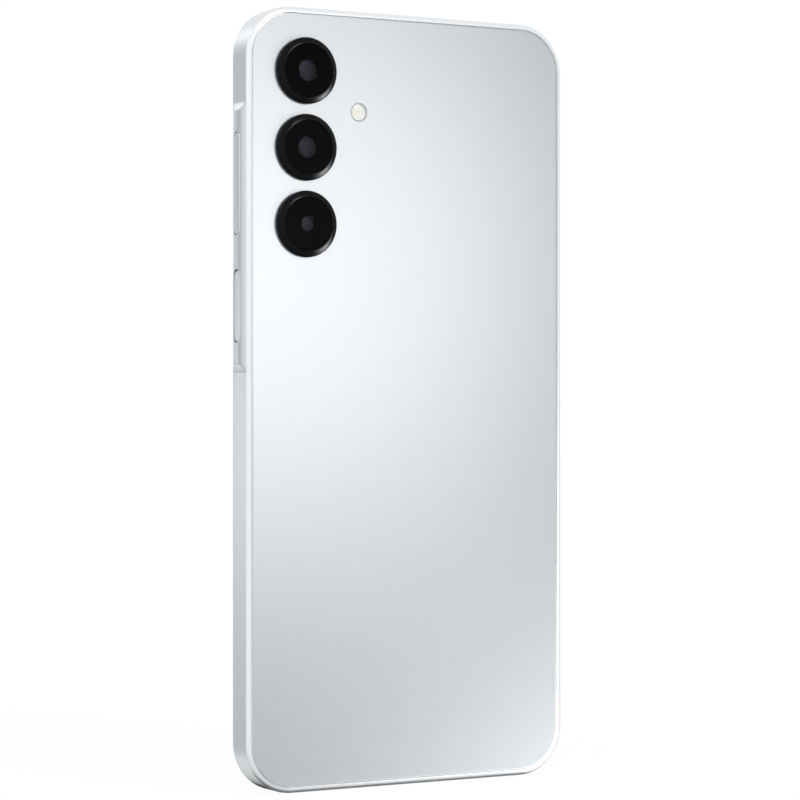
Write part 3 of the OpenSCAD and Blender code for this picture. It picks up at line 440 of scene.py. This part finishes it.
def smoothMin(a, b, k):
    return 0.5 * (a + b - np.sqrt((a - b) ** 2 + k * k))


# eases from 0 to 1 with level ends: three squares less two cubes
def fadeIn(x):
    x = np.clip(x, 0, 1)
    return x * x * (3 - 2 * x)


# island: across the side a superellipse from the seam to the crest, in front a circle;
# along the side two round hollows run it out
def raiseIsland(points, outer):
    i, s = island, shell
    x, y, z = points[..., 0], points[..., 1], points[..., 2]
    reach = s["backRim"] + i["rise"]
    lift = np.clip(y / backPlane, 0, 1) ** i["shape"]
    behind = halfW - s["backRim"] + reach * (1 - lift) ** (1 / i["shape"])
    ahead = halfW + i["rise"] - i["round"] + np.sqrt(i["round"] ** 2 - np.clip(y, -4, 0) ** 2)
    across = np.where(y > 0, behind, ahead)
    low, high = i["low"] - i["run"], i["high"] + i["run"]
    dip = np.minimum(z - low, high - z)
    hollow = halfW + i["scoop"] - np.sqrt(i["scoop"] ** 2 - np.clip(dip, 0, i["scoop"]) ** 2)
    target = smoothMin(across, hollow, i["crestEase"])
    raised = smoothMax(x, target, i["blend"])
    share = fadeIn(dip / i["fade"]) * outer * (y > frontEdge + 0.4) * (x > 0)
    shape = points.copy()
    shape[..., 0] = x + share * (raised - x)
    return shape


def makeShell():
    s, i = shell, island
    run = i["run"]
    sideZ = np.concatenate([  # rows close together where the hollows curve
        np.linspace(s["cornerR"], i["low"] - run - 1, 14),
        np.linspace(i["low"] - run - 0.4, i["low"] + 1.6, 32),
        np.linspace(i["low"] + 2.4, i["high"] - 2.4, 56),
        np.linspace(i["high"] - 1.6, i["high"] + run + 0.4, 32),
        np.linspace(i["high"] + run + 1, phoneH - s["cornerR"], 4)])
    base, normal = roundedOutline(halfW, 0, phoneH, s["cornerR"], sideZ)
    section = shellSection()
    outer = np.ones(len(section))
    outer[:5] = outer[-4:] = 0  # the inner wall stays where it is
    points = raiseIsland(sweepOutline(base, normal, s["cornerR"], section), outer)
    return meshFrom("frameShell", [ringSolid(points, wrapRows=True)])


# openings in the shell, each cut with a small flare at its mouth
keys = {
    "volume": {"node": "volume_key", "length": 21.2, "width": 2.6, "rise": 0.76, "gap": 0.15},
    "power": {"node": "power_key", "length": 15.0, "width": 3.1, "rise": 0.48, "gap": 0.15,
              "pocketLength": 16.1, "pocketWidth": 4.2, "pocketFloor": 0.36, "pocketSlope": 0.5},
}
ports = {"usbLength": 9.18, "usbWidth": 3.4, "flare": 0.12, "micR": 0.5, "micX": -12.0,
         "topMicX": 10.0, "slotLength": 3.0, "slotWidth": 1.1, "slotX": 12.5, "slotPitch": 4.0,
         "slots": 4, "trayLength": 19.16, "trayWidth": 2.66, "trayZ": 137.5, "deep": 3.4}
# earpiece: a notch behind the screen's top edge, and the room for its case behind the notch
earpiece = {"half": 6.0, "caseHalf": 5.0, "notchLow": 1.3, "notchHigh": 0.75, "caseLow": 3.4,
            "caseHigh": 0.9}


def middleZ(node):
    low, high = boxMm(node)
    return (low[2] + high[2]) / 2


# a pill-shaped cutter from inner to outer that widens by flare at the face
def flared(length, width, inner, face, outer, place, flare):
    sign = 1 if outer > inner else -1
    steps = [(0, inner), (0, face - sign * flare), (flare, face), (flare + 0.3, outer)]
    return stackRings(length, width, steps, place)


def shellCutters():
    p, f, e = ports, ports["flare"], earpiece
    inner, outer, deep = halfW - 3.5, halfW + 2, ports["deep"]
    v, w = keys["volume"], keys["power"]
    volumeZ, powerZ = middleZ(v["node"]), middleZ(w["node"])
    pocket = halfW + w["pocketFloor"]
    cutters = [
        stackRings(v["length"] + 2 * v["gap"], v["width"] + 2 * v["gap"],
                   [(0, inner), (0, outer)], onSide(volumeZ)),
        stackRings(w["length"] + 2 * w["gap"], w["width"] + 2 * w["gap"],
                   [(0, inner), (0, outer)], onSide(powerZ)),
        stackRings(w["pocketLength"], w["pocketWidth"],
                   [(-0.12, pocket), (0, pocket + 0.1), (w["pocketSlope"], pocket + 0.7),
                    (w["pocketSlope"] + 0.6, outer)], onSide(powerZ)),
        flared(p["trayLength"], p["trayWidth"], inner, halfW, outer, onSide(p["trayZ"], -1), 0.05),
        flared(p["usbLength"], p["usbWidth"], deep, 0, -1, onEnd(0), f),
        flared(p["micR"] * 2, p["micR"] * 2 - 0.001, deep, 0, -1, onEnd(p["micX"]), f),
        flared(p["micR"] * 2, p["micR"] * 2 - 0.001, phoneH - deep, phoneH, phoneH + 1,
               onEnd(p["topMicX"]), f),
        boxSolid((-e["half"], frontEdge - 0.35, phoneH - e["notchLow"]),
                 (e["half"], frontEdge + 0.9, phoneH - e["notchHigh"])),
        boxSolid((-e["caseHalf"], frontEdge + 0.7, phoneH - e["caseLow"]),
                 (e["caseHalf"], frontEdge + 1.7, phoneH - e["caseHigh"])),
    ]
    cutters += [flared(p["slotLength"], p["slotWidth"], deep, 0, -1,
                       onEnd(p["slotX"] + k * p["slotPitch"]), f) for k in range(p["slots"])]
    return cutters


shellMesh = cutOut(makeShell(), shellCutters())
newPiece("frame_shell", shellMesh, "phone", finishes["frame_paint"],
         ["outer_frame"], sharpAngle=28)
print("frame shell:", len(shellMesh.polygons), "faces")


# back panel: one flat plate with a softened edge, open under the lenses and the flash
panel = {"edge": 0.1, "edgeFlat": 0.15, "lensGap": 0.87, "flashR": 2.025}
ringLow, ringHigh = boxMm("lens_rings")
flashLow, flashHigh = boxMm("flash_window")
flashX, flashZ = (flashLow[0] + flashHigh[0]) / 2, (flashLow[2] + flashHigh[2]) / 2
ringR = (ringHigh[0] - ringLow[0]) / 2
lensX = (ringHigh[0] + ringLow[0]) / 2
lensTop = ringHigh[1]
lensZ = np.linspace(ringHigh[2] - ringR, ringLow[2] + ringR, 3)
flashR = panel["flashR"]


def makePanel():
    p, s = panel, shell
    inset = halfW - panelHigh[0]
    radius = s["cornerR"] - inset
    section = np.vstack([
        [[inset, panelLow[1]]],
        easeCorner((inset, backPlane - p["edge"]), (inset, backPlane), (inset + p["edge"], backPlane)),
        [[inset + p["edge"] + p["edgeFlat"], backPlane]]])
    base, normal = roundedOutline(halfW - inset, inset, phoneH - inset, radius,
                                  np.linspace(s["cornerR"], phoneH - s["cornerR"], 12))
    rings = sweepOutline(base, normal, radius + inset, section).transpose(1, 0, 2)
    return meshFrom("backPanel", [ringSolid(rings)])


spots = [(ringR - panel["lensGap"], (lensX, z)) for z in lensZ] + [(flashR, (flashX, flashZ))]
holes = [lathe([(r, panelLow[1] - 1), (r, backPlane + 1)], centre, closed=False)
         for r, centre in spots]
newPiece("back_panel", cutOut(makePanel(), holes), "phone", finishes["back_panel"],
         ["back_cover"], sharpAngle=40)
print("back panel made")


# lenses: raised rings, black printed covers, clear windows, barrels and front elements
lens = {"rim": 1.42, "shoulder": 0.22, "shoulderDrop": 0.4, "lip": 0.05, "coverT": 0.6,
        "sleeveIn": 0.92, "boreIn": 1.97, "skirt": 0.45, "bevelIn": 0.12, "bevelOut": 0.62,
        "bevelFall": 0.14, "coverEdge": 0.07}
coverR = ringR - lens["rim"]
seat = lensTop - lens["lip"] - lens["coverT"]
skirtTop = lensTop - lens["shoulderDrop"] - lens["skirt"]


# a ring's section: sleeve through the panel, shoulder, convex bevel, lip and seat
def ringProfile():
    n = lens
    lipR = coverR + 0.03
    bevel = easeCorner((lipR + n["bevelIn"], lensTop),
                       (lipR + n["bevelOut"], lensTop - n["bevelFall"]),
                       (ringR - n["shoulder"], lensTop - n["shoulderDrop"]), 8)
    shoulder = easeCorner((ringR - n["shoulder"], lensTop - n["shoulderDrop"]),
                          (ringR, lensTop - n["shoulderDrop"] - 0.13),
                          (ringR, skirtTop), 8)
    return np.vstack([
        [[ringR - n["boreIn"], panelLow[1] - 0.2], [ringR - n["sleeveIn"], panelLow[1] - 0.2],
         [ringR - n["sleeveIn"], backPlane], [ringR - 0.05, backPlane],
         [ringR - 0.05, skirtTop - 0.05]],
        shoulder[::-1], bevel[-2::-1],
        easeCorner((lipR + 0.08, lensTop), (lipR, lensTop), (lipR, lensTop - 0.08)),
        [[lipR, seat], [ringR - n["boreIn"], seat]]])


newPiece("lens_ring_set", [lathe(ringProfile(), (lensX, z), 128) for z in lensZ], "phone",
         finishes["lens_metal"], ["lens_rings"], sharpAngle=35)
skirt = [[ringR - 0.3, backPlane], [ringR - 0.03, backPlane], [ringR, backPlane + 0.03],
         [ringR, skirtTop], [ringR - 0.3, skirtTop]]
newPiece("lens_ring_skirts", [lathe(skirt, (lensX, z), 128) for z in lensZ], "phone",
         extras["skirt"])

lensKinds = [
    {"name": "upper", "body": "phone", "window": 2.32, "outer": 2.85, "element": 2.27,
     "floor": 4.01, "top": 4.1, "stands": []},
    {"name": "middle", "body": "focus_barrel", "window": 2.38, "outer": 3.24, "element": 2.33,
     "floor": 3.3, "top": 3.75, "stands": ["main_lens_barrel"]},
    {"name": "lower", "body": "phone", "window": 1.66, "outer": 2.05, "element": 1.61,
     "floor": 3.81, "top": 4.1, "stands": []},
]


# barrel: a lipped collar; element: a shallow dome, its height falls with the square of the radius
def makeLens(kind, centre):
    name, w, e, top = kind["name"], kind["window"], kind["element"], kind["top"]
    glassTop, edge = seat + lens["coverT"], lens["coverEdge"]
    mask = [[w, seat], [coverR, seat], [coverR, glassTop - edge], [coverR - edge, glassTop],
            [w, glassTop]]
    newPiece(name + "_lens_mask", [lathe(mask, centre)], "phone",
             finishes["lens_glass"], ["lens_cover_" + name])
    window = [[0.3, seat + 0.02], [w - 0.005, seat + 0.02], [w - 0.005, glassTop - 0.01],
              [0.3, glassTop - 0.01]]
    newPiece(name + "_lens_window", [lathe(window, centre, closed=False)], "phone",
             extras["window"])
    floorY = kind["floor"]  # just over the CAD barrel's top, or inside the one it stands for
    barrel = [[kind["outer"], floorY], [kind["outer"], top - 0.05], [kind["outer"] - 0.05, top],
              [e + 0.03, top], [e, top - 0.03], [e, floorY]]
    newPiece(name + "_lens_barrel", [lathe(barrel, centre)], kind["body"],
             extras["barrel"], kind["stands"], sharpAngle=30)
    rim = np.linspace(e - 0.03, 0.02, 28)
    dome = np.column_stack([rim, top + 0.12 - 0.2 * (rim / e) ** 2])
    dome = np.vstack([[[e - 0.03, floorY]], dome])
    newPiece(name + "_lens_element", [lathe(dome, centre, closed=False)], kind["body"],
             extras["element"], sharpAngle=30)


for kind, z in zip(lensKinds, lensZ):
    makeLens(kind, (lensX, z))
print("lenses made")


# flash: trim ring, ribbed clear lens, white cup and the lamp under it
flash = {"lensDeep": 0.45, "grooves": 4, "grooveDeep": 0.06, "cupFloor": 1.3, "trimW": 0.25,
         "trimDeep": 0.5, "cupTop": 0.52, "cupR": 1.25, "lampR": 0.95}


# the lens's face is ringed: its height is a saw-tooth of the radius
def makeFlash():
    f, centre = flash, (flashX, flashZ)
    lensR = flashR - f["trimW"] - 0.01
    radii = np.linspace(lensR - 0.1, 0.15, 4 * f["grooves"])
    saw = (radii * f["grooves"] / lensR) % 1.0
    face = np.column_stack([radii, backPlane - 0.02 - f["grooveDeep"] * saw])
    side = [[0.15, backPlane - f["lensDeep"]], [lensR, backPlane - f["lensDeep"]],
            [lensR, backPlane - 0.06], [lensR - 0.05, backPlane - 0.01]]
    newPiece("flash_lens", [lathe(np.vstack([side, face]), centre, 64, closed=False)], "phone",
             finishes["flash_plastic"], ["flash_window"])
    trimIn, trimFloor = flashR - f["trimW"], backPlane - f["trimDeep"]
    trim = [[trimIn, trimFloor], [flashR - 0.02, trimFloor], [flashR - 0.02, backPlane - 0.04],
            [flashR - 0.06, backPlane], [flashR - 0.2, backPlane], [trimIn, backPlane - 0.06]]
    newPiece("flash_trim", [lathe(trim, centre, 64)], "phone",
             extras["flashTrim"])
    cupTop, cupFloor = backPlane - f["cupTop"], f["cupFloor"]
    cup = [[flashR - 0.1, cupTop], [flashR - 0.3, cupTop], [f["cupR"], cupFloor],
           [f["lampR"], cupFloor], [f["lampR"], cupFloor - 0.15], [flashR - 0.1, cupFloor - 0.15]]
    newPiece("flash_cup", [lathe(cup, centre, 64)], "phone", extras["flashCup"])


makeFlash()


# side keys: pill caps with rounded edges, crowned like the island under them
def keyCap(k, crown, edge, flange):
    z = middleZ(k["node"])
    face = halfW + k["rise"]
    turn = np.linspace(0, math.pi / 2, 7)
    rims = np.column_stack([-edge * (1 - np.cos(turn)), face - edge * 0.9 + edge * 0.9 * np.sin(turn)])
    lip = 0.6
    base = halfW - shell["wall"] - flange
    steps = [(lip, base - 0.5), (lip, base), (0, base)] + rims.tolist()
    half = k["width"] / 2
    inner = [(-edge - s * (half - edge) * 0.97, face) for s in np.linspace(0.1, 1, 9)]
    flat, faces = stackRings(k["length"], k["width"], steps + inner, onSide(z), 14)
    shape = flat.copy()
    high = flat[:, 0] > face - edge
    shape[high, 0] -= crown * (flat[high, 1] / half) ** 2  # crown: falls with the square of depth
    return shape, faces


volume, power = keys["volume"], keys["power"]
newPiece("volume_rocker", [keyCap(volume, 0.14, 0.22, 0.35)], "volume_key",
         finishes["key_paint"], ["volume_key"], sharpAngle=35)
newPiece("power_button", [keyCap(power, 0.0, 0.2, 0.1)], "power_key",
         finishes["key_paint"], ["power_key", "fingerprint_sensor"], sharpAngle=35)
print("keys made")


# socket: twelve gold contacts a side on the tongue, each a thin strip
contacts = {"count": 12, "pitch": 0.5, "width": 0.28, "proud": 0.02, "from": 0.35, "long": 2.6}


def makeContacts(c):
    low, high = boxMm("usb_c_tongue")
    strips = []
    for k in range(c["count"]):
        x = (k - (c["count"] - 1) / 2) * c["pitch"]
        for near, far in ((high[1] - 0.05, high[1] + c["proud"]), (low[1] - c["proud"], low[1] + 0.05)):
            strips.append(boxSolid((x - c["width"] / 2, near, low[2] + c["from"]),
                                   (x + c["width"] / 2, far, low[2] + c["from"] + c["long"])))
    newPiece("usb_c_contacts", strips, "phone", extras["contact"])


makeContacts(contacts)


# screen: one sheet of glass with rounded edges, black border and a dark display
screen = {"edgeW": 0.7, "edgeH": 0.32, "edgeFlat": 0.2, "cameraR": 1.75, "cameraDrop": 5.9}


def makeScreen():
    inset = halfW - glassHigh[0]
    radius = shell["cornerR"] - inset
    turn = np.linspace(0, math.pi / 2, 8)
    edge = np.column_stack([inset + screen["edgeW"] * (1 - np.cos(turn)),
                            glassLow[1] + screen["edgeH"] * (1 - np.sin(turn))])
    section = np.vstack([[[inset + 0.05, glassHigh[1]], [inset, glassHigh[1] - 0.05]], edge,
                         [[inset + screen["edgeW"] + screen["edgeFlat"], glassLow[1]]]])
    base, normal = roundedOutline(glassHigh[0], glassLow[2], glassHigh[2], radius,
                                  np.linspace(shell["cornerR"], phoneH - shell["cornerR"], 12))
    rings = sweepOutline(base, normal, radius + inset, section).transpose(1, 0, 2)
    return meshFrom("screenGlass", [ringSolid(rings)])


cameraLow, cameraHigh = boxMm("front_camera")
cameraR, cameraSpot = screen["cameraR"], ((cameraLow[0] + cameraHigh[0]) / 2,
                                          phoneH - screen["cameraDrop"])
cameraHole = lathe([(cameraR, glassLow[1] - 1), (cameraR, glassHigh[1] + 1)], cameraSpot, 64,
                   closed=False)
screenMesh = cutOut(makeScreen(), [cameraHole])
newPiece("screen_glass", screenMesh, "phone", finishes["cover_glass"],
         ["display_glass"], sharpAngle=30)
print("screen made")


# stage and light
floor = {"size": 6.0, "color": "#F4F5F6", "shade": 0.06}


def addFloor(f):
    h = f["size"] / 2
    mesh = bpy.data.meshes.new("floor")
    mesh.from_pydata([(-h, -h, 0), (h, -h, 0), (h, h, 0), (-h, h, 0)], [], [(0, 1, 2, 3)])
    obj = objectFrom("floor", mesh)
    obj.visible_glossy = obj.visible_shadow = False  # mirrors and lamps look past the paper
    material = bpy.data.materials.new("paleSweepPaper")
    material.use_nodes = True
    tree = material.node_tree
    tree.nodes.clear()
    out = addNode(tree, "ShaderNodeOutputMaterial")
    paper = addNode(tree, "ShaderNodeBsdfDiffuse", {"Color": toLinear(f["color"])})
    glow = addNode(tree, "ShaderNodeEmission", {"Color": (1, 1, 1, 1), "Strength": 1.0})
    path = addNode(tree, "ShaderNodeLightPath")
    share = addNode(tree, "ShaderNodeMath", {0: path.outputs["Is Camera Ray"], 1: 1 - f["shade"]},
                    operation="MULTIPLY")
    mix = addNode(tree, "ShaderNodeMixShader", {0: share.outputs[0], 1: paper.outputs[0],
                                                2: glow.outputs[0]})
    tree.links.new(mix.outputs[0], out.inputs["Surface"])
    mesh.materials.append(material)


addFloor(floor)

# soft light: a level that rises from the floor to the ceiling, with broad lamps and shades in it
# each level: elevation, brightness
levels = [(-90, 0.08), (-52, 0.12), (-40, 0.7), (-20, 0.8), (-6, 0.86), (6, 0.95), (40, 1.0),
          (90, 1.0)]
# each lamp or shade: azimuth from +X towards +Y, elevation, width in degrees, strength
lamps = {
    "panelGlow": (118.7, 2.0, 6.2, 3.75),
    "panelShade": (121.1, 1.0, 9.7, -3.25),
    "cornerGlow": (129.7, -12.8, 5.1, 4.65),
    "rimGlow": (106.0, 2.0, 4.0, 0.35),
    "keyWall": (70.0, 5.0, 22.0, 0.22),
    "sideShade": (-52.0, 4.0, 28.0, -0.42),
    "sideGlow": (-60.0, -1.0, 2.6, 0.75),
    "sideHigh": (-72.0, 27.0, 8.0, 0.5),
    "cornerSoft": (-72.0, -23.0, 9.0, 0.22),
    "underShade": (-114.0, -19.0, 9.0, -0.85),
    "highGlint": (106.3, 25.5, 4.5, 18.0),
    "sideGlint": (22.0, 41.0, 4.0, 4.5),
    "lowGlint": (147.1, -20.0, 6.5, 26.0),
}


rampTop = 1.5  # the ramp holds brightness as a share of this
lightTint = (0.985, 0.998, 1.012)
backdrop = (1.02, 1.02, 1.02, 1)


def addWorld():
    world = bpy.data.worlds.new("softStudio")
    bpy.context.scene.world = world
    world.use_nodes = True
    tree = world.node_tree
    tree.nodes.clear()
    out = addNode(tree, "ShaderNodeOutputWorld")
    place = addNode(tree, "ShaderNodeTexCoord")
    way = addNode(tree, "ShaderNodeVectorMath", {0: place.outputs["Generated"]}, operation="NORMALIZE")
    parts = addNode(tree, "ShaderNodeSeparateXYZ", {0: way.outputs[0]})
    height = addNode(tree, "ShaderNodeMapRange", {"Value": parts.outputs["Z"], "From Min": -1.0,
                                                  "From Max": 1.0})
    ramp = addNode(tree, "ShaderNodeValToRGB", {"Fac": height.outputs["Result"]})
    ramp.color_ramp.interpolation = "EASE"
    stops = ramp.color_ramp.elements
    for k, (angle, level) in enumerate(levels):
        spot = (math.sin(math.radians(angle)) + 1) / 2
        if k < 2:
            stop = stops[k]
            stop.position = spot
        else:
            stop = stops.new(spot)
        stop.color = (level / rampTop, level / rampTop, level / rampTop, 1)
    total = addNode(tree, "ShaderNodeMath", {0: ramp.outputs["Color"], 1: rampTop},
                    operation="MULTIPLY").outputs[0]
    for azimuth, elevation, width, strength in lamps.values():
        a, e = math.radians(azimuth), math.radians(elevation)
        aim = (math.cos(a) * math.cos(e), math.sin(a) * math.cos(e), math.sin(e))
        dot = addNode(tree, "ShaderNodeVectorMath", {0: way.outputs[0], 1: aim},
                      operation="DOT_PRODUCT")
        tight = 1 / math.radians(width) ** 2
        fall = addNode(tree, "ShaderNodeMath", {0: dot.outputs["Value"], 1: tight, 2: -tight},
                       operation="MULTIPLY_ADD")
        lobe = addNode(tree, "ShaderNodeMath", {0: fall.outputs[0]}, operation="EXPONENT")
        total = addNode(tree, "ShaderNodeMath", {0: lobe.outputs[0], 1: strength, 2: total},
                        operation="MULTIPLY_ADD").outputs[0]
    total = addNode(tree, "ShaderNodeMath", {0: total, 1: 0.0}, operation="MAXIMUM").outputs[0]
    tint = addNode(tree, "ShaderNodeVectorMath", {0: total, 1: lightTint}, operation="MULTIPLY")
    path = addNode(tree, "ShaderNodeLightPath")
    # the colour sockets of a Mix node are 6 and 7, its colour output is 2
    seen = addNode(tree, "ShaderNodeMix", {0: path.outputs["Is Camera Ray"], 6: tint.outputs[0],
                                           7: backdrop}, data_type="RGBA")
    sky = addNode(tree, "ShaderNodeBackground", {"Color": seen.outputs[2], "Strength": 1.0})
    tree.links.new(sky.outputs[0], out.inputs["Surface"])


addWorld()

bpy.context.scene.view_settings.view_transform = "Standard"
print("stage and light ready")
